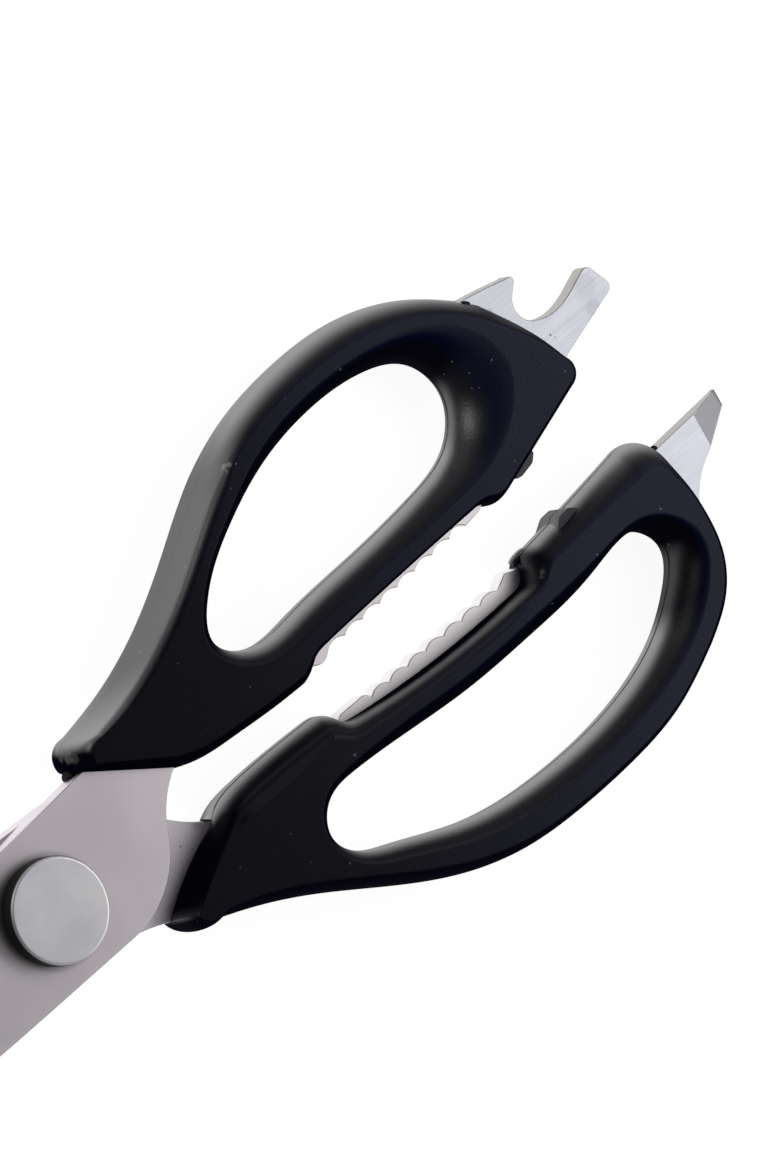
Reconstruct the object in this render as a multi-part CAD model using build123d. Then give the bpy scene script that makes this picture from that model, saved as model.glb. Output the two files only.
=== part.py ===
"""Kitchen shears: two steel halves on a take-apart pivot, each with a two-shell handle.

The shears lie on their back. Z is up, the bench is z = 0 and the pivot axis is the
Z axis. +X runs from the pivot to the handle ends and the blades point along -X. Both
halves are drawn shut and then turned apart by half of rest_opening each.
"""

import os
from math import atan2, cos, degrees, hypot, radians, sin, sqrt

from build123d import *

# Layers, measured up from the bench
grip_thickness = 11.5
plate_thickness = 3.0
contact_z = grip_thickness / 2
front_top_z = contact_z + plate_thickness
rear_back_z = contact_z - plate_thickness

# How far the jaws stand open as drawn, and how far they open for taking apart
rest_opening = 4.4
take_apart_opening = 90.0

# Blades
blade_length = 95.0
tip_half_width = 0.4
cutting_half_width = 10.7
front_spine = 10.75
rear_spine = 11.8
heel_run = 10.0
shoulder_run = 8.0
shoulder_radius = 14.75
fork = (21.4, -2.3)
collar_run = 15.5
collar_half_width = 12.0
grind_width = 4.5
edge_thickness = 0.5

# Pivot: shank, its riveted spigot, the oblong tail, the disc and its spacer
shank_radius = 5.0
spigot_radius = 4.5
tail_length = 15.0
tail_width = 5.6
head_radius = 7.65
head_thickness = 2.9
head_bevel = 0.35
head_bore_depth = 2.1
washer_radius = 7.1
washer_thickness = 0.3

# Clearances
running_clearance = 0.05
rivet_clearance = 0.02
keyhole_clearance = 0.2
tail_clearance = 0.05
pocket_clearance = 0.1
peg_clearance = 0.1
stop_gap = 0.05
cutter_slack = 1.0

# Gripping strip between the handles
tooth_pitch = 3.55
tooth_depth = 0.65
upper_tooth_start = (56.6, 1.5)
upper_tooth_count = 7
upper_tooth_end = 2.0
lower_tooth_start = (59.65, -3.7)
lower_tooth_count = 7
lower_tooth_end = -2.4

# Handle shells
crown_fullness = 0.95
crown_levels = (0.0, 0.5, 0.8, 1.0)
spline_steps = 12
peg_radius = 1.3
peg_grip = 1.3
boss_half_height = 3.0
boss_depth = 3.0
boss_centre = 97.8
boss_top_length = 2.2
boss_base_length = 5.8
stop_line = 1.75

# Lid lifter: the corners and the ground end of the lower tool
lifter_low = (129.8, -0.9)
lifter_high = (129.9, 1.6)
lifter_grind = 5.6
lifter_overrun = 4.0
lifter_edge_thickness = 1.2

# Upper handle, shut, as stretches of points round the outline: two points are a
# line, three an arc and more a spline. The rim is the outline half way through the
# thickness and the face is the edge of the flat front.
upper_rim = [
    [(27.2, 3.6), (31.0, 2.1), (38.0, 1.0), (45.0, 0.3), (51.0, 0.0)],
    [(51.0, 0.0), (52.8, 0.7), (54.4, 1.9), (56.5, 2.4)],
    [(56.5, 2.4), (72.0, 2.75), (87.5, 2.8)],
    [(87.5, 2.8), (88.8, 2.2), (90.2, 1.3), (92.2, 1.4)],
    [(92.2, 1.4), (110.0, 6.6)],
    [(110.0, 6.6), (112.1, 8.3), (111.8, 11.2)],
    [(111.8, 11.2), (110.4, 15.9), (108.4, 20.4), (105.9, 25.0)],
    [(105.9, 25.0), (98.4, 31.3), (87.0, 35.9), (76.5, 36.6), (66.7, 35.4),
     (57.3, 31.8), (47.5, 26.0), (36.9, 20.5), (26.4, 17.2), (18.8, 16.1)],
    [(18.8, 16.1), (15.8, 15.1), (15.3, 12.2)],
    [(15.3, 12.2), (27.2, 3.6)],
]
upper_face = [
    [(28.2, 5.0), (31.5, 3.9), (38.0, 2.9), (45.0, 2.2), (50.4, 1.9)],
    [(50.4, 1.9), (52.0, 2.5), (53.8, 3.3), (56.5, 3.5)],
    [(56.5, 3.5), (72.0, 3.8), (87.5, 3.9)],
    [(87.5, 3.9), (88.8, 3.6), (90.2, 2.9), (92.2, 2.9)],
    [(92.2, 2.9), (109.0, 7.9)],
    [(109.0, 7.9), (110.8, 9.2), (110.6, 11.0)],
    [(110.6, 11.0), (109.1, 15.2), (106.8, 19.0), (103.8, 23.2)],
    [(103.8, 23.2), (94.8, 30.3), (85.4, 33.3), (76.0, 34.0), (66.8, 33.3),
     (57.8, 30.6), (48.0, 25.3), (37.2, 19.6), (27.0, 16.2), (20.6, 14.9)],
    [(20.6, 14.9), (18.0, 13.9), (17.3, 12.1)],
    [(17.3, 12.1), (28.2, 5.0)],
]
upper_hole_rim = [
    (43.8, 13.6), (47.0, 9.4), (57.0, 8.4), (70.5, 8.8), (82.0, 9.5), (90.0, 11.5), (94.6, 17.6),
    (93.1, 23.8), (86.5, 27.6), (76.2, 28.8), (66.3, 27.6), (56.3, 24.2), (46.7, 18.3),
]
upper_hole_face = [
    (41.6, 13.4), (45.4, 7.7), (57.0, 6.2), (70.5, 6.1), (83.0, 6.2), (94.5, 7.8), (103.0, 16.5),
    (100.5, 25.2), (88.5, 30.8), (76.2, 31.9), (65.0, 30.3), (55.0, 26.1), (44.9, 19.5),
]
upper_pegs = [(34.0, 8.2), (105.0, 14.0)]

# Lower handle, shut, in the same way
lower_rim = [
    [(28.6, -4.4), (31.0, -2.6), (35.1, -1.6), (42.0, -1.1), (50.4, -0.9)],
    [(50.4, -0.9), (51.8, -1.7), (53.2, -3.6), (55.5, -4.3)],
    [(55.5, -4.3), (72.0, -4.8), (87.3, -3.8)],
    [(87.3, -3.8), (88.5, -2.8), (89.3, -0.8), (91.0, -0.1)],
    [(91.0, -0.1), (98.0, 1.1), (104.0, 2.2), (110.2, 3.4)],
    [(110.2, 3.4), (114.0, 2.9), (115.8, -0.2)],
    [(115.8, -0.2), (116.6, -6.0), (116.8, -11.0), (115.7, -17.1), (112.9, -21.8), (106.8, -26.4)],
    [(106.8, -26.4), (97.0, -31.0), (86.4, -33.2), (76.4, -34.0), (66.8, -33.8),
     (56.2, -31.2), (46.1, -26.4), (35.8, -20.9), (27.0, -17.2), (20.8, -15.2)],
    [(20.8, -15.2), (17.0, -14.5), (15.9, -11.8)],
    [(15.9, -11.8), (22.6, -7.3), (28.6, -4.4)],
]
lower_face = [
    [(28.4, -5.4), (31.2, -4.0), (35.0, -3.4), (42.0, -3.0), (49.2, -2.9)],
    [(49.2, -2.9), (50.4, -3.7), (51.9, -4.9), (54.5, -5.3)],
    [(54.5, -5.3), (71.0, -5.7), (87.3, -4.6)],
    [(87.3, -4.6), (89.1, -4.0), (90.6, -2.9), (92.4, -2.2)],
    [(92.4, -2.2), (98.0, -1.5), (103.0, -1.0), (109.3, -0.4)],
    [(109.3, -0.4), (112.8, -0.8), (114.3, -3.0)],
    [(114.3, -3.0), (115.2, -7.0), (115.2, -11.0), (114.2, -16.4), (111.6, -20.6), (105.6, -25.2)],
    [(105.6, -25.2), (96.4, -29.6), (86.2, -31.7), (76.4, -32.5), (66.9, -32.2),
     (57.0, -29.8), (46.9, -25.1), (36.6, -19.6), (27.6, -15.8), (21.4, -14.2)],
    [(21.4, -14.2), (18.2, -13.9), (17.4, -12.6)],
    [(17.4, -12.6), (23.3, -8.5), (28.4, -5.4)],
]
lower_hole_rim = [
    (42.2, -15.2), (44.6, -11.6), (50.4, -10.3), (60.4, -10.5), (72.0, -10.8), (85.0, -10.0), (97.0, -8.2),
    (106.8, -7.3), (109.8, -11.6), (106.3, -17.2), (99.4, -22.0), (91.0, -25.0), (76.1, -26.8),
    (60.9, -25.4), (50.6, -22.0), (43.8, -18.6),
]
lower_hole_face = [
    (40.4, -15.2), (43.0, -10.1), (50.4, -8.3), (60.4, -8.0), (72.0, -8.1), (86.0, -7.0), (98.5, -5.6),
    (108.6, -5.9), (112.9, -12.2), (109.6, -18.9), (101.8, -24.3), (92.0, -27.6), (76.1, -29.5),
    (60.2, -27.9), (49.6, -24.0), (42.2, -19.8),
]
lower_pegs = [(34.0, -8.8), (112.2, -3.6)]


def stretch_edge(points, z):
    """A line through two points, an arc through three, a spline through more, at height z."""
    spots = [Vector(x, y, z) for x, y in points]
    if len(spots) == 2:
        return Edge.make_line(*spots)
    if len(spots) == 3:
        return Edge.make_three_point_arc(*spots)
    return Edge.make_spline(spots)


def outline_wire(stretches, z):
    """The closed outline made of the given stretches at height z."""
    return Wire([stretch_edge(points, z) for points in stretches])


def between(first, second, share):
    """The points that lie the given share of the way from one list to the other."""
    return [
        (a[0] + (b[0] - a[0]) * share, a[1] + (b[1] - a[1]) * share)
        for a, b in zip(first, second)
    ]


def crown(level):
    """How much of the inset from rim to face is used up at a share of the half thickness.

    It follows an ellipse, so the wall leaves the rim upright and reaches the face at a crease.
    """
    drop = 1 - sqrt(1 - (crown_fullness * level) ** 2)
    return drop / (1 - sqrt(1 - crown_fullness**2))


def crowned_block(rim, face, side):
    """The solid whose wall rolls from the rim at the contact plane to the face, above or below it."""
    wires = []
    for level in crown_levels:
        stretches = [between(a, b, crown(level)) for a, b in zip(rim, face)]
        wires.append(outline_wire(stretches, contact_z + side * level * grip_thickness / 2))
    return Solid.make_loft(wires)


def crowned_hole(rim, face, side):
    """The finger hole of one shell, wider at the face than at the rim."""
    wires = []
    for level in crown_levels:
        spots = [
            Vector(x, y, contact_z + side * level * grip_thickness / 2)
            for x, y in between(rim, face, crown(level))
        ]
        wires.append(Wire([Edge.make_spline(spots, periodic=True)]))
    return Solid.make_loft(wires)


def prism(stretches, low, high):
    """The outline raised from one height to another."""
    face = Face(outline_wire(stretches, low))
    return Solid.extrude(face, Vector(0, 0, high - low))


def drum(radius, low, high, at=(0, 0)):
    """An upright cylinder between two heights."""
    return Pos(at[0], at[1], low) * Cylinder(
        radius, high - low, align=(Align.CENTER, Align.CENTER, Align.MIN)
    )


def oblong(length, width, low, high):
    """An upright bar with round ends that lies along X."""
    half = length / 2
    rise = width / 2
    reach = half - rise
    outline = [
        [(-reach, -rise), (reach, -rise)],
        [(reach, -rise), (half, 0), (reach, rise)],
        [(reach, rise), (-reach, rise)],
        [(-reach, rise), (-half, 0), (-reach, -rise)],
    ]
    return prism(outline, low, high)


def mirrored(stretches):
    """The same stretches on the other side of the X axis."""
    return [[(x, -y) for x, y in points] for points in stretches]


def scallops(ends):
    """The arcs of a gripping strip between the given points, from the far end back to the near one.

    Every arc swells up by the tooth depth: bites in the upper strip, lobes on the lower one.
    """
    arcs = []
    for near, far in zip(ends, ends[1:]):
        middle = ((near[0] + far[0]) / 2, (near[1] + far[1]) / 2 + tooth_depth)
        arcs.insert(0, [far, middle, near])
    return arcs


def tooth_ends(start, count, last_y):
    """The points where the arcs of a gripping strip meet, evenly spaced from start."""
    rise = (last_y - start[1]) / count
    return [(start[0] + tooth_pitch * step, start[1] + rise * step) for step in range(count + 1)]


def blade_stretches(spine, heel_stretch):
    """The cutting end of a half with its back below, from the inner fork round the tip to the collar.

    spine is how far the back lies from the pivot, and heel_stretch runs from heel to collar.
    """
    centre_y = shoulder_radius - spine
    start = degrees(atan2(fork[1] - centre_y, fork[0] - shoulder_run))
    middle = radians((start - 90) / 2)
    shoulder = (shoulder_run + shoulder_radius * cos(middle), centre_y + shoulder_radius * sin(middle))
    return [
        [fork, shoulder, (shoulder_run, -spine)],
        [(shoulder_run, -spine), (0.0, -spine), (-0.35 * blade_length, -0.95 * spine),
         (-0.68 * blade_length, -0.63 * spine), (-blade_length, -tip_half_width)],
        [(-blade_length, -tip_half_width), (-blade_length, tip_half_width)],
        [(-blade_length, tip_half_width), (-heel_run, cutting_half_width)],
        heel_stretch,
    ]


def front_outline():
    """The front steel half's whole outline."""
    heel = [(-heel_run, cutting_half_width), (collar_run, collar_half_width)]
    return blade_stretches(front_spine, heel) + upper_tang()


def rear_outline():
    """The rear steel half's whole outline. It is drawn in a little between heel and collar."""
    heel = [(-heel_run, cutting_half_width), (4.0, 9.9), (10.0, 10.5), (collar_run, collar_half_width)]
    return mirrored(blade_stretches(rear_spine, heel)) + lower_tang()


def upper_tang():
    """The front half's steel beyond the collar: tang, bottle opener and gripping strip."""
    teeth = tooth_ends(upper_tooth_start, upper_tooth_count, upper_tooth_end)
    return [
        [(collar_run, collar_half_width), (24.0, 12.3), (33.0, 11.2), (40.0, 8.6), (46.0, 6.5)],
        [(46.0, 6.5), (90.0, 6.4)],
        [(90.0, 6.4), (96.2, 8.2), (99.2, 13.0), (99.3, 19.0), (97.9, 24.0), (100.6, 27.2)],
        [(100.6, 27.2), (109.1, 25.4), (111.6, 24.7)],
        [(111.6, 24.7), (112.4, 24.3), (112.2, 23.5)],
        [(112.2, 23.5), (110.8, 22.2)],
        [(110.8, 22.2), (110.0, 19.3), (112.0, 17.2)],
        [(112.0, 17.2), (114.2, 16.6), (116.4, 16.7), (119.4, 17.6)],
        [(119.4, 17.6), (121.4, 18.3)],
        [(121.4, 18.3), (122.5, 18.3), (123.1, 17.4)],
        [(123.1, 17.4), (123.9, 14.9)],
        [(123.9, 14.9), (123.7, 13.9), (122.8, 13.4)],
        [(122.8, 13.4), (108.0, 9.4)],
        [(108.0, 9.4), (92.0, 4.4)],
        [(92.0, 4.4), (87.6, 2.2)],
        [(87.6, 2.2), (84.6, 1.9)],
        [(84.6, 1.9), (83.0, 2.8), teeth[-1]],
        *scallops(teeth),
        [teeth[0], (55.6, 0.9), (53.6, 1.3)],
        [(53.6, 1.3), (52.4, 3.4)],
        [(52.4, 3.4), (45.0, 4.2), (36.0, 4.8), (29.5, 4.6)],
        [(29.5, 4.6), (24.9, 1.9), fork],
    ]


def lower_tang():
    """The rear half's steel beyond the collar: tang, lid lifter and gripping strip."""
    teeth = tooth_ends(lower_tooth_start, lower_tooth_count, lower_tooth_end)
    return [
        [(collar_run, -collar_half_width), (24.0, -12.6), (33.0, -12.2), (40.0, -10.0), (46.0, -8.3)],
        [(46.0, -8.3), (60.0, -8.4), (76.0, -8.5), (90.0, -6.9), (104.0, -5.6)],
        [(104.0, -5.6), (110.4, -6.6), (113.0, -10.2), (114.4, -12.8)],
        [(114.4, -12.8), (116.3, -12.2), (118.1, -9.7)],
        [(118.1, -9.7), (120.1, -7.1), (122.6, -5.2)],
        [(122.6, -5.2), lifter_low],
        [lifter_low, lifter_high],
        [lifter_high, (111.0, -0.5)],
        [(111.0, -0.5), (92.0, -2.4)],
        [(92.0, -2.4), (86.7, -1.0)],
        [(86.7, -1.0), teeth[-1]],
        *scallops(teeth),
        [teeth[0], (59.1, -3.0), (58.0, -2.8)],
        [(58.0, -2.8), (54.2, -3.0)],
        [(54.2, -3.0), (51.8, -4.6)],
        [(51.8, -4.6), (45.0, -4.6), (36.0, -4.7), (29.5, -4.1)],
        [(29.5, -4.1), (25.2, -1.6), (fork[0], -fork[1])],
    ]


def bevel_cutter(start, end, width, depth, face_z, side, up_z, overrun=cutter_slack):
    """A long wedge that grinds one edge: width across the face, depth down the edge.

    The edge runs from start to end, side says on which hand of it the steel lies, and
    up_z is the way that the ground face looks: +1 up or -1 down. The wedge is longer than
    the edge by the overrun at both ends.
    """
    run = hypot(end[0] - start[0], end[1] - start[1])
    along = Vector((end[0] - start[0]) / run, (end[1] - start[1]) / run, 0)
    across = Vector(-along.Y, along.X, 0) * side
    up = Vector(0, 0, up_z)
    slack = cutter_slack
    origin = Vector(start[0], start[1], face_z) - along * overrun
    drop = -depth * (width + slack) / width
    corners = [
        origin + across * width,
        origin - across * slack + up * drop,
        origin - across * slack + up * slack,
        origin + across * width + up * slack,
    ]
    wedge = Face(Wire.make_polygon(corners, close=True))
    return Solid.extrude(wedge, along * (run + 2 * overrun))


def ground_blade(steel, face_z, side):
    """Grind the cutting bevel on the outer face of a steel half: side is +1 for the front one."""
    heel = (-heel_run, side * cutting_half_width)
    tip = (-blade_length, side * tip_half_width)
    depth = plate_thickness - edge_thickness
    return steel - bevel_cutter(heel, tip, grind_width, depth, face_z, side, side)


def keyhole():
    """The rear plate's hole: round for the shank, with an oblong that lets the tail out when open."""
    shank = drum(shank_radius + running_clearance, rear_back_z, contact_z)
    grow = 2 * keyhole_clearance
    slot = oblong(tail_length + grow, tail_width + grow, rear_back_z, contact_z)
    return shank + Rot(0, 0, take_apart_opening) * slot


def build_front_blade():
    """Front steel half, shut."""
    steel = prism(front_outline(), contact_z, front_top_z)
    steel = ground_blade(steel, front_top_z, 1)
    steel -= drum(spigot_radius + rivet_clearance, contact_z, front_top_z)
    for spot in upper_pegs:
        steel -= drum(peg_radius + peg_clearance, contact_z, front_top_z, spot)
    return steel


def build_rear_blade():
    """Rear steel half, shut."""
    steel = prism(rear_outline(), rear_back_z, contact_z)
    steel = ground_blade(steel, rear_back_z, -1)
    steel -= keyhole()
    for spot in lower_pegs:
        steel -= drum(peg_radius + peg_clearance, rear_back_z, contact_z, spot)
    depth = plate_thickness - lifter_edge_thickness
    return steel - bevel_cutter(
        lifter_low, lifter_high, lifter_grind, depth, contact_z, 1, 1, lifter_overrun
    )


def build_stud():
    """Pivot stud: spigot riveted in the front plate, shank in the rear plate, oblong tail behind it."""
    tail_top = rear_back_z - tail_clearance
    head_floor = front_top_z + washer_thickness
    tail = oblong(tail_length, tail_width, 0, tail_top)
    shank = drum(shank_radius, tail_top, contact_z)
    spigot = drum(spigot_radius, contact_z, head_floor + head_bore_depth)
    return tail + shank + spigot


def build_head():
    """The round disc over the pivot, with a fine bevel round its top and a blind bore below."""
    low = front_top_z + washer_thickness
    disc = drum(head_radius, low, low + head_thickness)
    disc = chamfer(disc.edges().group_by(Axis.Z)[-1], head_bevel)
    return disc - drum(spigot_radius + rivet_clearance, low, low + head_bore_depth)


def build_washer():
    """The thin spacer between the disc and the front plate."""
    low = front_top_z
    ring = drum(washer_radius, low, low + washer_thickness)
    return ring - drum(spigot_radius + rivet_clearance, low, low + washer_thickness)


def stop_boss(side, low, high):
    """The faceted stop on a handle's inner edge. Its top lies on the line where both bosses meet."""
    top = stop_line + side * stop_gap / 2
    foot = stop_line + side * boss_depth
    half_top = boss_top_length / 2
    half_base = boss_base_length / 2
    outline = [
        [(boss_centre - half_base, foot), (boss_centre - half_top, top)],
        [(boss_centre - half_top, top), (boss_centre + half_top, top)],
        [(boss_centre + half_top, top), (boss_centre + half_base, foot)],
        [(boss_centre + half_base, foot), (boss_centre - half_base, foot)],
    ]
    return prism(outline, low, high)


def shell(rim, face, hole_rim, hole_face, side, half):
    """One plain handle shell with its finger hole and its half of the stop boss.

    side is +1 for the shell above the contact plane; half is +1 for the upper handle.
    """
    body = crowned_block(rim, face, side)
    low, high = sorted((contact_z, contact_z + side * boss_half_height))
    body += stop_boss(half, low, high)
    return body - crowned_hole(hole_rim, hole_face, side)


def tang_pocket(outline, low, high):
    """The room for a tang, a little larger all round than the steel.

    Each grown spline is drawn again through points along it, so that it stays a plain curve.
    """
    grown = offset(Face(outline_wire(outline, low)), pocket_clearance, kind=Kind.ARC)
    edges = []
    for edge in grown.faces()[0].outer_wire().edges():
        if edge.geom_type not in (GeomType.LINE, GeomType.CIRCLE):
            edge = Edge.make_spline([edge @ (step / spline_steps) for step in range(spline_steps + 1)])
        edges.append(edge)
    return Solid.extrude(Face(Wire(edges)), Vector(0, 0, high - low))


def with_sockets(body, spots, floor_z, side):
    """Sink the blind sockets that take the other shell's pegs into the pocket's floor."""
    start = floor_z - side * plate_thickness / 2
    for spot in spots:
        low, high = sorted((start, floor_z + side * (peg_grip + peg_clearance)))
        body -= drum(peg_radius + peg_clearance, low, high, spot)
    return body


def with_pegs(body, spots, side):
    """Raise the pegs that pass through the tang into the other shell."""
    for spot in spots:
        low, high = sorted((contact_z, contact_z + side * (plate_thickness + peg_grip)))
        body += drum(peg_radius, low, high, spot)
    return body


def build_upper_grips():
    """Front shell with the tang's pocket, rear shell with the pegs."""
    front = shell(upper_rim, upper_face, upper_hole_rim, upper_hole_face, 1, 1)
    front -= tang_pocket(front_outline(), contact_z, front_top_z)
    front = with_sockets(front, upper_pegs, front_top_z, 1)
    rear = shell(upper_rim, upper_face, upper_hole_rim, upper_hole_face, -1, 1)
    return front, with_pegs(rear, upper_pegs, 1)


def build_lower_grips():
    """Rear shell with the tang's pocket, front shell with the pegs."""
    rear = shell(lower_rim, lower_face, lower_hole_rim, lower_hole_face, -1, -1)
    rear -= tang_pocket(rear_outline(), rear_back_z, contact_z)
    rear = with_sockets(rear, lower_pegs, rear_back_z, -1)
    front = shell(lower_rim, lower_face, lower_hole_rim, lower_hole_face, 1, -1)
    return with_pegs(front, lower_pegs, -1), rear


def build_all():
    """Every piece by name, with the jaws open by rest_opening."""
    upper_front, upper_rear = build_upper_grips()
    lower_front, lower_rear = build_lower_grips()
    front_half = {
        "front_blade": build_front_blade(),
        "upper_grip_front": upper_front,
        "upper_grip_rear": upper_rear,
        "pivot_stud": build_stud(),
        "pivot_washer": build_washer(),
        "pivot_head": build_head(),
    }
    rear_half = {
        "rear_blade": build_rear_blade(),
        "lower_grip_front": lower_front,
        "lower_grip_rear": lower_rear,
    }
    turned = {name: Rot(0, 0, rest_opening / 2) * piece for name, piece in front_half.items()}
    turned.update({name: Rot(0, 0, -rest_opening / 2) * piece for name, piece in rear_half.items()})
    return turned


os.makedirs("parts", exist_ok=True)
for node, piece in build_all().items():
    export_step(piece, os.path.join("parts", node + ".step"))
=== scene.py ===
"""Kitchen shears lying on a white table: two steel halves, a round pivot and four handle shells."""

import bmesh
import bpy
import numpy as np
from mathutils import Matrix, Vector
from mathutils.geometry import tessellate_polygon


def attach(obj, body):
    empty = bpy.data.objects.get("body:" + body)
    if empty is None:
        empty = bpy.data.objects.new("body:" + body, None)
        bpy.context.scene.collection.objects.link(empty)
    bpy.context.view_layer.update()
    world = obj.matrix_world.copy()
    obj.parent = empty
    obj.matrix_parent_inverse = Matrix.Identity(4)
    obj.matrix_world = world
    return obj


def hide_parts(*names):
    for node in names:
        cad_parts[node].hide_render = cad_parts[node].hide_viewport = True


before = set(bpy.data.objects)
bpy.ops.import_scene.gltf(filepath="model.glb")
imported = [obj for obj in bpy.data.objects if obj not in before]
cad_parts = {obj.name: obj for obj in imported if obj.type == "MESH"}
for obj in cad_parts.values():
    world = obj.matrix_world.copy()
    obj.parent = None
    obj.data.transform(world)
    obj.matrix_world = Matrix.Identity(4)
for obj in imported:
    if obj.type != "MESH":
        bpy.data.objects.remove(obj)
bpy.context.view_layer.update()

# Steel halves: two stamped plates of satin stainless steel, ground to an edge along the
# blades. Stamping rolls their edges over a little on the face side, and the face is
# brushed finely along the shears.
EDGE_ROLL = 0.00016


def grain_group():
    """Fine parallel brush lines and soft blotches: out come a bump height and a mask from 0 to 1."""
    group = bpy.data.node_groups.new("brushed_grain", "ShaderNodeTree")
    put_in = group.interface.new_socket("Lines per metre", in_out="INPUT", socket_type="NodeSocketFloat")
    put_in.default_value = 2500
    group.interface.new_socket("Height", in_out="OUTPUT", socket_type="NodeSocketFloat")
    group.interface.new_socket("Blotch", in_out="OUTPUT", socket_type="NodeSocketFloat")
    nodes, links = group.nodes, group.links
    given, out = nodes.new("NodeGroupInput"), nodes.new("NodeGroupOutput")
    where = nodes.new("ShaderNodeTexCoord")
    stretch = nodes.new("ShaderNodeMapping")
    stretch.inputs["Scale"].default_value = (0.03, 1.0, 0.4)
    stretch.inputs["Rotation"].default_value = (0, 0, np.radians(-38))
    lines = nodes.new("ShaderNodeTexNoise")
    lines.inputs["Detail"].default_value = 4
    blotch = nodes.new("ShaderNodeTexNoise")
    blotch.inputs["Scale"].default_value = 90
    blotch.inputs["Detail"].default_value = 3
    links.new(where.outputs["Object"], stretch.inputs["Vector"])
    links.new(stretch.outputs["Vector"], lines.inputs["Vector"])
    links.new(given.outputs["Lines per metre"], lines.inputs["Scale"])
    links.new(where.outputs["Object"], blotch.inputs["Vector"])
    links.new(lines.outputs["Fac"], out.inputs["Height"])
    links.new(blotch.outputs["Fac"], out.inputs["Blotch"])
    return group


brushed_grain = grain_group()


def ramp(nodes, links, value, low, high, at_low=0.0, at_high=1.0):
    """A soft step of a value: at_low up to low, at_high from high on."""
    step = nodes.new("ShaderNodeMapRange")
    step.interpolation_type = "SMOOTHSTEP"
    for socket, amount in zip(("From Min", "From Max", "To Min", "To Max"), (low, high, at_low, at_high)):
        step.inputs[socket].default_value = amount
    links.new(value, step.inputs["Value"])
    return step.outputs["Result"]


def tinted(nodes, links, share, under, over, mode="MIX"):
    """One colour laid over another by a share from 0 to 1. Either may be a fixed colour or a socket."""
    mix = nodes.new("ShaderNodeMix")
    mix.data_type = "RGBA"
    mix.blend_type = mode
    for socket, given in (("A", under), ("B", over)):
        if isinstance(given, tuple):
            mix.inputs[socket].default_value = (*given, 1)
        else:
            links.new(given, mix.inputs[socket])
    links.new(share, mix.inputs["Factor"])
    return mix.outputs["Result"]


def steel_finish(name, colour, roughness, line_height, blotch_depth):
    """Satin steel: the brush lines bump the normal, and the blotches shift colour and roughness a little."""
    material = bpy.data.materials.new(name)
    material.use_nodes = True
    nodes, links = material.node_tree.nodes, material.node_tree.links
    shader = nodes["Principled BSDF"]
    shader.inputs["Metallic"].default_value = 1.0
    grain = nodes.new("ShaderNodeGroup")
    grain.node_tree = brushed_grain
    pale = tuple(c * (1 + blotch_depth) for c in colour)
    deep = tuple(c * (1 - blotch_depth) for c in colour)
    tone = tinted(nodes, links, ramp(nodes, links, grain.outputs["Blotch"], 0.3, 0.7), deep, pale)
    links.new(tone, shader.inputs["Base Color"])
    rough = ramp(nodes, links, grain.outputs["Height"], 0.0, 1.0, roughness - 0.05, roughness + 0.05)
    links.new(rough, shader.inputs["Roughness"])
    bump = nodes.new("ShaderNodeBump")
    bump.inputs["Strength"].default_value = 1.0
    bump.inputs["Distance"].default_value = line_height
    links.new(grain.outputs["Height"], bump.inputs["Height"])
    links.new(bump.outputs["Normal"], shader.inputs["Normal"])
    return material


def mark_group():
    """A spot with a ragged edge: out comes its share inside the reach round the place, and 0 outside."""
    group = bpy.data.node_groups.new("ragged_mark", "ShaderNodeTree")
    for name, way, kind in (
        ("Place", "INPUT", "NodeSocketVector"), ("Reach", "INPUT", "NodeSocketFloat"),
        ("Share", "INPUT", "NodeSocketFloat"), ("Mask", "OUTPUT", "NodeSocketFloat"),
    ):
        group.interface.new_socket(name, in_out=way, socket_type=kind)
    nodes, links = group.nodes, group.links
    given, out = nodes.new("NodeGroupInput"), nodes.new("NodeGroupOutput")
    where = nodes.new("ShaderNodeTexCoord")
    apart = nodes.new("ShaderNodeVectorMath")
    apart.operation = "DISTANCE"
    links.new(where.outputs["Object"], apart.inputs[0])
    links.new(given.outputs["Place"], apart.inputs[1])
    noise = nodes.new("ShaderNodeTexNoise")
    noise.inputs["Scale"].default_value = 2600
    noise.inputs["Detail"].default_value = 3
    links.new(where.outputs["Object"], noise.inputs["Vector"])
    steps = [nodes.new("ShaderNodeMath") for _ in range(3)]
    for step, operation in zip(steps, ("DIVIDE", "ADD", "MULTIPLY")):
        step.operation = operation
    links.new(apart.outputs["Value"], steps[0].inputs[0])
    links.new(given.outputs["Reach"], steps[0].inputs[1])
    links.new(steps[0].outputs["Value"], steps[1].inputs[0])
    links.new(noise.outputs["Fac"], steps[1].inputs[1])
    links.new(ramp(nodes, links, steps[1].outputs["Value"], 1.6, 1.1), steps[2].inputs[0])
    links.new(given.outputs["Share"], steps[2].inputs[1])
    links.new(steps[2].outputs["Value"], out.inputs["Mask"])
    return group


ragged_mark = mark_group()

# Grime and dried drops on the steel: place and reach in millimetres, and how dark. They lie on
# the bottle opener, on its prong, and on the rear half beside the collar.
STAINS = [
    ((111.4, 18.7, 8.8), 0.19, 0.7), ((111.8, 18.0, 8.8), 0.16, 0.6), ((105.6, 26.7, 8.8), 0.6, 0.2),
    ((119.9, 21.1, 8.8), 2.2, 0.12), ((119.2, 17.8, 8.8), 1.4, 0.15),
    ((22.9, -5.2, 5.8), 0.17, 0.7), ((24.1, -6.6, 5.8), 0.17, 0.7),
]


def joined(nodes, links, first, second, operation="MULTIPLY"):
    """Two masks made one, by their product or by another operation such as the lesser of the two."""
    step = nodes.new("ShaderNodeMath")
    step.operation = operation
    links.new(first, step.inputs[0])
    links.new(second, step.inputs[1])
    return step.outputs["Value"]


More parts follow.
